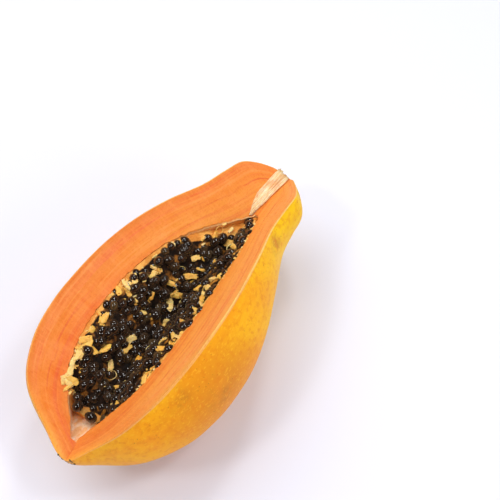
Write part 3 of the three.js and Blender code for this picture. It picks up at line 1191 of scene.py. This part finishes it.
    def build_mesh(self) -> tuple[Piece, np.ndarray]:
        """Lays the grid on the fruit.

        Returns:
            The piece before its seams are closed, and for each vertex whether it is skin.
        """
        form = self.form
        x = form.skin_curve(self.rings)[:, 0]
        rims = self.ragged_rims(x)
        columns = []
        for stretch, shares in self.column_plan():
            columns += [self.column(stretch, float(share), x, rims) for share in shares]
        piece, shares = grid_piece("papaya_fruit", len(columns), self.rings)
        column = np.rint(shares[:, 0] * (len(columns) - 1)).astype(int)
        ring = np.rint(shares[:, 1] * (self.rings - 1)).astype(int)
        laid = np.stack([c[0] for c in columns])[column, ring]
        laid[:, 2] = np.maximum(laid[:, 2], form.flat_spot)
        move_vertices(piece, form.place_all(laid))
        add_vertex_value(piece, "cut_place", np.stack([c[1] for c in columns])[column, ring])
        return piece, np.array([c[2] for c in columns])[column]

    def build(self, skin: Material, flesh: Material) -> Piece:
        """Builds and dresses the fruit."""
        piece, is_skin = self.build_mesh()
        piece.data.materials.append(skin)
        piece.data.materials.append(flesh)
        corners = np.empty(len(piece.data.polygons) * 4, int)
        piece.data.polygons.foreach_get("vertices", corners)
        skin_corners = is_skin[corners.reshape(-1, 4)].all(axis=1)
        piece.data.polygons.foreach_set("material_index", np.where(skin_corners, 0, 1))
        close_up(piece, 0.02 * MM)
        shade_smooth(piece, 32)
        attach(piece, BODY)
        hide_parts("fruit")
        return piece


@dataclass
class SeedBed:
    """The bed that the seeds stand out of, painted dark as shade between them, and the seeds on it."""

    form: FruitForm
    bed_below_seeds: float = 1.7
    bed_thickness: float = 3.0
    bed_across: int = 40
    bed_along: int = 90
    seed_length: float = 7.5
    seed_width: float = 6.0
    row_pitch: float = 5.1
    seed_pitch: float = 5.2
    jitter: float = 1.4
    loose_share: float = 0.45
    bare_from: float = 135.0
    bare_until: float = 165.0
    bare_width: float = 5.0
    bare_end: float = 4.0
    least_bare: float = 0.6
    bare_slope: float = 0.6
    half_search: float = 45.0
    first_row: float = -44.0
    bed_lead: float = 2.0
    into_wall: float = 0.4
    lining_width: float = 2.5
    end_lining: float = 3.0
    bed_roughness: float = 0.7
    taper: float = 0.22
    loose_lift: float = 2.6
    lone_seeds: tuple[Triple, ...] = (
        (28.0, 2.5, -3.2), (33, 14, 0.8), (29.5, 11.5, -0.6),
    )

    def bare_strip(self, x: float) -> float:
        """Returns how wide a strip of bare wall the seeds leave under the far rim at x."""
        share = min(max((x - self.bare_from) / (self.bare_until - self.bare_from), 0), 1)
        return self.least_bare + self.bare_width * share

    def edges(self, x: float) -> tuple[float, float]:
        """Returns where the bed meets the near and the far wall at x."""
        form = self.form
        across = np.arange(-self.half_search, self.half_search, 0.25)
        inside = [y for y in across if form.in_cavity(x, y, form.bed_height(x, y), 0.0)]
        return (inside[0], inside[-1]) if inside else (0.0, 0.0)

    def build_bed(self, material: Material) -> Piece:
        """Lays the dark bed from wall to wall."""
        form = self.form
        piece, shares = grid_piece("seed_bed", self.bed_across, self.bed_along)
        stations = np.linspace(form.bed_start - self.bed_lead, form.bed_end, self.bed_along)
        reach = [self.edges(float(x)) for x in stations]
        ring = np.rint(shares[:, 1] * (self.bed_along - 1)).astype(int)
        points = []
        by_wall = []
        for (across, _), i in zip(shares, ring):
            near, far = reach[i]
            x = float(stations[i])
            y = near - self.into_wall + (far - near + 2 * self.into_wall) * across
            bare = self.bare_strip(x)
            sunk = min(max((y - far + bare) / bare, 0), 1) * self.bare_slope * bare
            points.append((x, y, form.bed_height(x, y) - self.bed_below_seeds - sunk))
            from_walls = min(y - near, far - bare - y, x - form.bed_start - self.end_lining)
            by_wall.append(1 - min(from_walls / self.lining_width, 1))
        laid = np.array(points)
        laid[:, 2] += self.bed_roughness * roughen(laid, 0.22, 5.5)
        move_vertices(piece, form.place_all(laid))
        add_vertex_value(piece, "by_wall", np.clip(np.array(by_wall), 0, 1))
        apply_modifier(piece, "SOLIDIFY", thickness=self.bed_thickness * MM, offset=-1.0)
        close_up(piece, 0.01 * MM)
        shade_smooth(piece, 60)
        dress(piece, material)
        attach(piece, BODY)
        return piece

    def seed_pattern(self) -> Piece:
        """Models one seed: an egg with a slight point, a few dozen faces."""
        deselect_everything()
        bpy.ops.mesh.primitive_ico_sphere_add(subdivisions=2, radius=0.5)
        piece = bpy.context.object
        places = coordinates(piece)
        taper = 1 - self.taper * places[:, 0]
        places[:, 1] *= taper * self.seed_width * MM
        places[:, 2] *= taper * self.seed_width * MM
        places[:, 0] *= self.seed_length * MM
        move_vertices(piece, places)
        return piece

    def seed_places(self) -> list[Triple]:
        """Places the seeds in uneven rows across the bed, with some loose ones on top."""
        form = self.form
        draw = random.Random(41)
        places = list(self.lone_seeds)
        shifted = False
        x = form.bed_start - 1.0
        while x < form.bed_end + 3:
            y = self.first_row if shifted else self.first_row + self.seed_pitch / 2
            while y < -self.first_row:
                y += self.seed_pitch / math.hypot(1, form.bed_slope(x, y))
                px = x + draw.uniform(-1, 1) * self.jitter
                py = y + draw.uniform(-1, 1) * self.jitter * 0.8
                pz = form.bed_height(px, py) + draw.uniform(-0.9, 0.7)
                if px < form.bed_start + self.bare_end and py > -2:
                    continue
                bare = self.bare_strip(px) if py > 0 else 0.0
                if form.in_cavity(px, py, pz, 1.7) and form.in_cavity(px, py + bare, pz + bare * 0.4, 1):
                    places.append((px, py, pz))
                    if draw.random() < self.loose_share and form.in_cavity(px, py, pz, 6.0):
                        aside = (draw.uniform(-2, 2), draw.uniform(-2, 2))
                        places.append((px + aside[0], py + aside[1], pz + self.loose_lift))
            x += self.row_pitch
            shifted = not shifted
        return places

    def build_seeds(self, material: Material, keep_clear: list["ScrapPlace"]) -> Piece:
        """Copies the seed to every place that no large piece of pulp covers."""
        form = self.form
        draw = random.Random(77)
        pattern = self.seed_pattern()
        copies = []
        tones = []
        for x, y, z in self.seed_places():
            turn = Euler((draw.uniform(0, 6.3), draw.uniform(-0.9, 0.9), draw.uniform(0, 6.3)))
            size = draw.uniform(0.86, 1.08)
            tone = draw.random() ** 1.6
            if any(s.covers(x, y) for s in keep_clear):
                continue
            turned = Matrix.Translation(form.place(x, y, z)) @ turn.to_matrix().to_4x4()
            copies.append(copy_of(pattern, turned @ Matrix.Scale(size, 4)))
            tones.append(tone)
        vertices_each = len(pattern.data.vertices)
        bpy.data.objects.remove(pattern)
        piece = join(copies, "papaya_seeds")
        add_vertex_value(piece, "tone", np.repeat(np.array(tones), vertices_each))
        shade_smooth(piece, 180)
        dress(piece, material)
        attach(piece, BODY)
        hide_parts("seeds")
        log.info("%d seeds", len(tones))
        return piece


@dataclass(frozen=True)
class ScrapPlace:
    """Where a scrap of pulp stands, how high and large it is, and how it is turned."""

    x: float
    y: float
    top: float
    turn: float
    large: bool

    def covers(self, x: float, y: float) -> bool:
        """Tells whether the scrap hides a place in the bed."""
        share = 0.55 if self.large else 0.4
        return math.hypot((x - self.x) / 1.5, y - self.y) < self.top * share


@dataclass
class Pulp:
    """Torn chunks of pulp among the seeds, patches and a fringe at the rims, and threads."""

    form: FruitForm
    scraps: int = 14
    small_scraps: int = 46
    threads: int = 22
    scrap_top: float = 3.4
    patch_top: float = 6.0
    scrap_spread: float = 20.0
    small_spread: float = 24.0
    thread_spread: float = 22.0
    chunk_thickness: float = 1.5
    flap_thickness: float = 0.9
    stretch: float = 1.5
    rim_patches: tuple[tuple[float, float], ...] = (
        (44, 23), (57, 27), (70, 28), (96, 25), (118, 21), (60, -16), (84, -18), (112, -17), (133, -14),
    )
    torn_chunks: tuple[tuple[float, float, float, float, float, float], ...] = (
        (130, 5, 4.8, 2.2, -60, 4.4), (118, 11, 4.5, 1.8, -75, 4.2), (115.5, 4.5, 4.0, 2.0, -60, 4.4),
        (109, 4, 4.0, 2.6, 30, 4.2), (117.5, -9, 3.6, 1.8, 45, 4.4), (119, -14.5, 2.8, 1.8, 20, 4.0),
        (126.5, -5, 3.0, 1.8, -40, 4.2), (140.5, 8.5, 3.0, 2.0, -40, 4.0), (159, 8, 3.4, 1.6, 20, 3.4),
        (94, 27.5, 3.4, 1.8, 40, 3.6), (99.5, 26.5, 3.4, 1.8, 60, 3.8), (105, 24.5, 3.6, 1.9, 30, 3.8),
        (109.5, 22.5, 3.2, 1.6, 50, 3.6), (76, 24.5, 4.2, 2.0, 0, 3.8), (59, 23.5, 4.5, 3.0, 20, 3.8),
        (52.5, 24, 4.5, 2.4, -10, 3.6), (58, 20, 3.4, 2.4, 70, 3.8), (60.5, 26, 3.5, 2.0, -40, 3.6),
        (76.5, 9, 4.6, 2.4, -30, 3.0), (71, 7.5, 4.2, 2.0, -15, 2.6), (58, 8.5, 3.4, 1.8, 30, 2.8),
        (78.5, -15, 4.6, 1.8, -70, 4.2), (88, -15, 3.0, 1.7, 40, 4.0), (97, -15, 3.0, 1.6, 30, 4.0),
        (56, -17.5, 3.2, 1.6, 10, 3.6), (40, -8, 2.2, 1.4, 0, 3.2), (47.5, 7, 2.4, 1.6, 50, 2.8),
        (33.5, 15.5, 3.4, 1.5, 60, 2.6), (36, 19, 3.6, 1.4, -20, 2.6), (37.5, 22, 3.2, 1.2, 10, 2.8),
    )
    rim_flaps: tuple[tuple[float, float, float, float, float], ...] = (
        (36.5, 24.0, 3.6, 2.6, 60), (34.5, 25.6, 2.2, 1.2, 40), (41.5, 25.4, 3.4, 2.0, 20),
        (46.5, 27.4, 3.0, 1.6, 10), (38.0, 21.6, 3.2, 2.0, 80), (33.5, 21.4, 3.0, 1.1, -20),
    )

    def __post_init__(self) -> None:
        """Makes the lists that the chunks are gathered in."""
        self.draw = random.Random(19)
        self.copies: list[Piece] = []
        self.tones: list[np.ndarray] = []
        self.patterns: list[Piece] = []

    def places(self) -> list[ScrapPlace]:
        """Draws the places of the solid model's scraps, in the same order."""
        form = self.form
        row = SeededRow(11)
        made = []
        for x, y in self.rim_patches:
            top = self.patch_top * (0.8 + 0.4 * row.draw())
            turn = 0.6 * (row.draw() - 0.5)
            made.append(ScrapPlace(x, y, top, turn, True))
        for i in range(self.scraps):
            share = (i + row.draw()) / self.scraps
            x = (form.bed_start + 12) * (1 - share) + (form.bed_end - 16) * share
            width = self.scrap_spread * form.bed_width(x)
            y = (2 * row.draw() - 1) * width + 3
            top = self.scrap_top * (0.6 + 0.8 * row.draw())
            made.append(ScrapPlace(x, y, top, math.pi * row.draw(), False))
            row.draw()  # The solid scrap's tilt, which isn't used here.
        return made

    def chunk_pattern(self, seed: int) -> Piece:
        """Models one torn chunk, 2 units long: a ball pressed angular, flattened and made uneven."""
        deselect_everything()
        bpy.ops.mesh.primitive_ico_sphere_add(subdivisions=3, radius=1.0)
        piece = bpy.context.object
        places = coordinates(piece)
        places = np.sign(places) * np.abs(places) ** 0.7
        pull = 1 + 0.55 * roughen(places, 1.0, seed * 2.3) + 0.4 * roughen(places, 2.4, seed * 5.1)
        pull += 0.16 * roughen(places, 5.2, seed * 1.9)
        places *= pull[:, None] * (0.9, 0.85, 0.5)
        bend = 0.25 * places[:, 0] ** 2
        places[:, 2] += bend - 0.1
        move_vertices(piece, places)
        return piece

    def ring_pattern(self) -> Piece:
        """Models one thread: the torn edge of a seed's sac, a thin uneven ring."""
        deselect_everything()
        bpy.ops.mesh.primitive_torus_add(
            major_segments=22, minor_segments=5, major_radius=1.0, minor_radius=0.1
        )
        piece = bpy.context.object
        places = coordinates(piece)
        places *= (1 + 0.16 * roughen(places, 1.4, 6.6))[:, None]
        places[:, 2] += 0.2 * roughen(places, 1.1, 2.1)
        move_vertices(piece, places)
        return piece

    def add(self, place: Vector, turn: Matrix, size: Triple, tone: float,
            pattern: Piece | None = None) -> None:
        """Adds one chunk.

        Args:
            place: Its middle, in metres.
            turn: How it is turned.
            size: Half its length, width and thickness, in millimetres.
            tone: How pale it is, from 0 to 1.
            pattern: The piece to copy, or None for any of the chunks.
        """
        pattern = pattern or self.patterns[self.draw.randrange(len(self.patterns))]
        matrix = Matrix.Translation(place) @ turn @ Matrix.Diagonal((*[s * MM for s in size], 1))
        self.copies.append(copy_of(pattern, matrix))
        self.tones.append(np.full(len(pattern.data.vertices), tone))

    def add_on_bed(self, x: float, y: float, lift: float, size: Triple, turn: float,
                   tone: float, pattern: Piece | None = None) -> None:
        """Lays a chunk on the slope of the seeds, at a height over their middle."""
        form = self.form
        if not form.in_cavity(x, y, form.bed_height(x, y) + lift, 0.8):
            return
        lean = 0.7 * math.atan(form.bed_slope(x, y))
        uneven = Euler((lean + self.draw.uniform(-0.35, 0.35), self.draw.uniform(-0.35, 0.35), turn))
        place = form.place(x, y, form.bed_height(x, y) + lift)
        self.add(place, uneven.to_matrix().to_4x4(), size, tone, pattern)

    def add_cluster(self, scrap: ScrapPlace) -> None:
        """Adds the chunks of one of the solid model's scraps."""
        draw = self.draw
        if not scrap.large:
            size = (scrap.top * 1.15, scrap.top * 0.6, self.chunk_thickness)
            self.add_on_bed(scrap.x, scrap.y, 2.9, size, scrap.turn, draw.random())
            return
        for _ in range(6):
            x = scrap.x + draw.uniform(-0.75, 0.75) * scrap.top * self.stretch
            y = scrap.y + draw.uniform(-0.6, 0.5) * scrap.top
            length = draw.uniform(1.6, 3.4)
            size = (length, length * draw.uniform(0.5, 0.9), draw.uniform(1.0, 1.7))
            lift = draw.uniform(1.4, 2.6)
            self.add_on_bed(x, y, lift, size, draw.uniform(0, 6.3), draw.uniform(0.2, 0.9))

    def add_fringe(self, cut: float, stop: float, spacing: tuple[float, float], longest: float,
                   inset: float) -> None:
        """Adds torn bits along a rim.

        Args:
            cut: The cut's angle.
            stop: Where along the fruit the fringe ends.
            spacing: Least and greatest step along the rim, in millimetres.
            longest: Half the length of the longest bit.
            inset: How far inside the rim the bits sit.
        """
        form = self.form
        draw = self.draw
        x = form.bed_start + 1.0
        while x < stop:
            x += draw.uniform(*spacing)
            reach = float(form.rim(np.array([x]), cut)[0]) - inset - draw.uniform(0, 0.9)
            if reach < 4:
                continue
            below = draw.uniform(0.9, 2.4)
            half = draw.uniform(0.45, 1.0) * longest
            place = form.place(x, reach * math.sin(cut), reach * math.cos(cut) - below)
            lean = cut * 0.4 + draw.uniform(-0.4, 0.4)
            turn = Euler((lean, draw.uniform(-0.5, 0.5), draw.uniform(0, 6.3)))
            size = (half, half * draw.uniform(0.4, 0.7), half * draw.uniform(0.35, 0.55))
            self.add(place, turn.to_matrix().to_4x4(), size, draw.uniform(0.45, 1.0))

    def add_flaps(self) -> None:
        """Lays torn flaps over the far rim, near the blossom end, flat on the cut."""
        cut = self.form.far_cut
        for x, reach, length, width, turn in self.rim_flaps:
            place = self.form.place(x, reach * math.sin(cut), reach * math.cos(cut))
            lying = Matrix.Rotation(math.pi / 2 - cut, 4, "X")
            lying = lying @ Matrix.Rotation(math.radians(turn), 4, "Z")
            self.add(place, lying, (length, width, self.flap_thickness), self.draw.uniform(0.3, 0.9))

    def build(self, material: Material) -> Piece:
        """Gathers and joins all the pulp."""
        form = self.form
        draw = self.draw
        self.patterns = [self.chunk_pattern(seed) for seed in range(1, 8)]
        ring = self.ring_pattern()
        for scrap in self.places():
            self.add_cluster(scrap)
        for x, y, length, width, turn, lift in self.torn_chunks:
            size = (length, width, self.chunk_thickness)
            self.add_on_bed(x, y, lift, size, math.radians(turn), draw.uniform(0.2, 0.9))
        for _ in range(self.small_scraps):
            x = draw.uniform(form.bed_start + 8, form.bed_end - 8)
            width = self.small_spread * form.bed_width(x)
            length = draw.uniform(1.0, 2.3)
            size = (length, length * draw.uniform(0.4, 0.8), draw.uniform(0.6, 1.1))
            y = draw.uniform(-0.8, 1.1) * width
            self.add_on_bed(x, y, draw.uniform(1.6, 3.2), size, draw.uniform(0, 6.3), draw.random())
        for _ in range(self.threads):
            x = draw.uniform(form.bed_start + 6, form.bed_end - 10)
            width = self.thread_spread * form.bed_width(x)
            radius = draw.uniform(2.2, 3.2)
            y = draw.uniform(-0.8, 1.0) * width
            lift = draw.uniform(1.4, 2.4)
            size = (radius, radius * 0.8, radius)
            self.add_on_bed(x, y, lift, size, draw.uniform(0, 6.3), draw.uniform(0.5, 1.0), ring)
        self.add_fringe(form.near_cut, form.bed_end - 4, (1.6, 3.6), 1.7, 0.2)
        self.add_fringe(form.far_cut, 136.0, (1.6, 3.8), 2.4, 1.4)
        self.add_flaps()
        for pattern in (*self.patterns, ring):
            bpy.data.objects.remove(pattern)
        piece = join(self.copies, "papaya_pulp")
        add_vertex_value(piece, "tone", np.concatenate(self.tones))
        shade_smooth(piece, 50)
        dress(piece, material)
        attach(piece, BODY)
        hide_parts("seed_pulp")
        return piece


@dataclass
class StemStrand:
    """The woody strand along the far cut, with its fibres."""

    form: FruitForm
    start: float = 184.5
    end: float = 220.2
    first_width: float = 1.0
    width_inside: float = 7.4
    width_outside: float = 8.6
    widening: float = 13.0
    proud: float = 0.55
    around: int = 120
    stations: int = 90
    late_widening: float = 20.0
    core_gap: float = 0.5
    relief: float = 0.1
    top_relief: float = 0.45
    raised: float = 1.5
    torn_ends: float = 1.6
    end_share: float = 0.03

    def build(self, material: Material) -> Piece:
        """Builds the strand: a tapered rod, flattened on the cut, its surface drawn out in fibres."""
        form = self.form
        deselect_everything()
        bpy.ops.mesh.primitive_cylinder_add(
            vertices=self.around, radius=1, depth=1, rotation=(0, math.pi / 2, 0)
        )
        bpy.ops.object.transform_apply(location=True, rotation=True, scale=True)
        piece = bpy.context.object
        piece.name = "stem_strand_fibres"
        piece.data.name = piece.name
        select_only(piece)
        bpy.ops.object.mode_set(mode="EDIT")
        bpy.ops.mesh.select_mode(type="EDGE")
        bpy.ops.mesh.select_all(action="DESELECT")
        bpy.ops.object.mode_set(mode="OBJECT")
        for edge in piece.data.edges:
            first, second = (piece.data.vertices[i].co.x for i in edge.vertices)
            edge.select = abs(first - second) > 0.5
        bpy.ops.object.mode_set(mode="EDIT")
        bpy.ops.mesh.subdivide(number_cuts=self.stations)
        bpy.ops.object.mode_set(mode="OBJECT")
        places = coordinates(piece)
        share = places[:, 0] + 0.5
        x = self.start + (self.end - self.start) * share
        widened = np.clip((x - self.start) / self.widening, 0, 1) ** 0.8
        later = np.clip((x - self.start - self.widening) / self.late_widening, 0, 1)
        half = self.first_width + (self.width_inside - self.first_width) * widened
        half = (half + (self.width_outside - self.width_inside) * later) / 2
        angle = np.arctan2(places[:, 1], places[:, 2])
        ridge_places = np.stack([share * 2.2, np.sin(angle) * 4, np.cos(angle) * 4], axis=1)
        fibre = roughen(ridge_places, 1.9, 3.3) + 0.5 * roughen(ridge_places, 4.1, 7.3)
        radius = half * np.hypot(places[:, 1], places[:, 2]) * (1 + self.relief * fibre)
        y = self.core_gap + half + radius * np.sin(angle)
        z = radius * np.cos(angle)
        cut_top = y / math.tan(form.far_cut) + self.proud + self.top_relief * fibre
        z = np.minimum(z + self.raised, cut_top)
        ragged = self.torn_ends * roughen(ridge_places, 2.4, 8.8)
        x = x + np.where(share > 1 - self.end_share, ragged - 1.0, 0)
        x = x + np.where(share < self.end_share, ragged, 0)
        laid = np.stack([x, y, z], axis=1)
        add_vertex_value(piece, "fibre_place", laid)
        move_vertices(piece, form.place_all(laid))
        shade_smooth(piece, 40)
        dress(piece, material)
        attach(piece, BODY)
        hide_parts("stem_strand")
        return piece


@dataclass
class BlossomScar:
    """The small dried remains of the blossom at the tip."""

    form: FruitForm
    crumbs: int = 26
    crumb_size: float = 1.4
    thickness: float = 0.9
    ring: float = 4.6
    sunk: float = 0.75
    first_angle: float = 72.0
    sweep: float = 235.0

    def build(self, material: Material) -> Piece:
        """Builds the scar from a few crumbs that run into each other."""
        form = self.form
        draw = random.Random(8)
        copies = []
        deselect_everything()
        bpy.ops.mesh.primitive_ico_sphere_add(subdivisions=2, radius=0.5)
        pattern = bpy.context.object
        places = coordinates(pattern)
        places *= (1 + 0.35 * roughen(places, 2.6, 4.4))[:, None]
        move_vertices(pattern, places)
        for i in range(self.crumbs):
            angle = math.radians(self.first_angle + self.sweep * i / (self.crumbs - 1))
            size = self.crumb_size * draw.uniform(0.7, 1.4) * MM
            reach = self.ring * draw.uniform(0.7, 1.15)
            along = self.sunk * draw.uniform(0.9, 1.3)
            place = form.place(along, reach * math.sin(angle), reach * math.cos(angle))
            matrix = (
                Matrix.Translation(place)
                @ Matrix.Rotation(draw.uniform(-0.6, 0.6) - angle, 4, "X")
                @ Matrix.Diagonal((self.thickness * MM, size * draw.uniform(1.4, 2.4), size, 1))
            )
            copies.append(copy_of(pattern, matrix))
        bpy.data.objects.remove(pattern)
        piece = join(copies, "blossom_scar")
        shade_smooth(piece, 60)
        dress(piece, material)
        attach(piece, BODY)
        return piece


def stand(thing: Piece, place: Triple, aim: Triple) -> None:
    """Stands a light or a camera at a place, turned to what it aims at."""
    thing.location = place
    thing.rotation_euler = (Vector(aim) - Vector(place)).to_track_quat("-Z", "Y").to_euler()


@dataclass(frozen=True)
class Softbox:
    """A square light that faces the fruit, its sizes in metres and its power in watts."""

    name: str
    place: Triple
    side: float
    power: float
    colour: Triple
    in_gloss: bool = False
    aim: Triple = (0.0, 0.0, 0.05)

    def hang(self) -> None:
        """Hangs the light, in or out of what glossy surfaces mirror."""
        light = bpy.data.lights.new(self.name, "AREA")
        light.shape = "SQUARE"
        light.size = self.side
        light.energy = self.power
        light.color = self.colour
        lamp = bpy.data.objects.new(self.name, light)
        lamp.visible_glossy = self.in_gloss
        bpy.context.scene.collection.objects.link(lamp)
        stand(lamp, self.place, self.aim)


@dataclass
class Studio:
    """Floor, soft lights and the camera at the photograph's angle."""

    floor_size: float = 6.0
    floor_height: float = -0.0002
    camera_place: Triple = (-0.20989, -0.16311, 0.5941)
    camera_aim: Triple = (0.05131, -0.02121, 0.0548)
    lens: float = 73.05
    sensor: float = 36.0
    clip_start: float = 0.01
    softboxes: tuple[Softbox, ...] = (
        Softbox("key", (0.15, 0.65, 1.15), 1.0, 8.4, (1.0, 0.99, 0.97)),
        Softbox("overhead", (0.0, 0.0, 1.5), 1.1, 0.8, (0.99, 0.99, 1.0)),
        Softbox("fill", (-0.1, -1.05, 0.55), 0.8, 5.0, (1.0, 0.99, 0.97)),
        Softbox("spark_left", (-0.5, 0.35, 1.0), 0.18, 2.1, (1.0, 1.0, 1.0), True),
        Softbox("spark_right", (0.2, -0.45, 1.15), 0.18, 2.1, (1.0, 1.0, 1.0), True),
        Softbox("spark_back", (0.55, 0.1, 1.0), 0.18, 2.1, (1.0, 1.0, 1.0), True),
    )
    surround: Colour = (0.87, 0.89, 1.0, 1.0)
    surround_strength: float = 0.41

    def build_floor(self, effects: Effects) -> Piece:
        """Lays the floor just under the fruit."""
        deselect_everything()
        bpy.ops.mesh.primitive_plane_add(size=self.floor_size, location=(0, 0, self.floor_height))
        bpy.ops.object.transform_apply(location=True, rotation=True, scale=True)
        floor = bpy.context.object
        floor.name = "studio_floor"
        dress(floor, FloorFinish().make(effects))
        return floor

    def build_lights(self) -> None:
        """Hangs the lights and sets a pale, even surround."""
        for softbox in self.softboxes:
            softbox.hang()
        world = bpy.data.worlds.new("studio")
        world.use_nodes = True
        background = world.node_tree.nodes["Background"]
        background.inputs["Color"].default_value = self.surround
        background.inputs["Strength"].default_value = self.surround_strength
        world.cycles_visibility.glossy = False
        bpy.context.scene.world = world
        bpy.context.scene.view_settings.view_transform = "Standard"

    def build_camera(self) -> None:
        """Stands the camera where the photograph was taken from."""
        data = bpy.data.cameras.new("camera")
        data.lens = self.lens
        data.sensor_width = self.sensor
        data.clip_start = self.clip_start
        camera = bpy.data.objects.new("camera", data)
        bpy.context.scene.collection.objects.link(camera)
        stand(camera, self.camera_place, self.camera_aim)
        bpy.context.scene.camera = camera


def main() -> None:
    """Builds every piece around the frame, and the studio."""
    logging.basicConfig(level=logging.INFO, format="%(name)s: %(message)s")
    effects = Effects()
    studio = Studio()
    studio.build_camera()
    studio.build_lights()
    studio.build_floor(effects)
    form = FruitForm()
    pulp = Pulp(form)
    bed = SeedBed(form)
    built = [
        FruitBody(form).build(SkinFinish().make(effects), FleshFinish().make(effects)),
        bed.build_bed(BedFinish().make(effects)),
        bed.build_seeds(SeedFinish().make(effects), pulp.places()),
        pulp.build(PulpFinish().make(effects)),
        StemStrand(form).build(WoodyFinish().make(effects)),
        BlossomScar(form).build(ScarFinish().make(effects)),
    ]
    for piece in built:
        log.info("%s: %d faces", piece.name, len(piece.data.polygons))


if __name__ == "__main__":
    main()
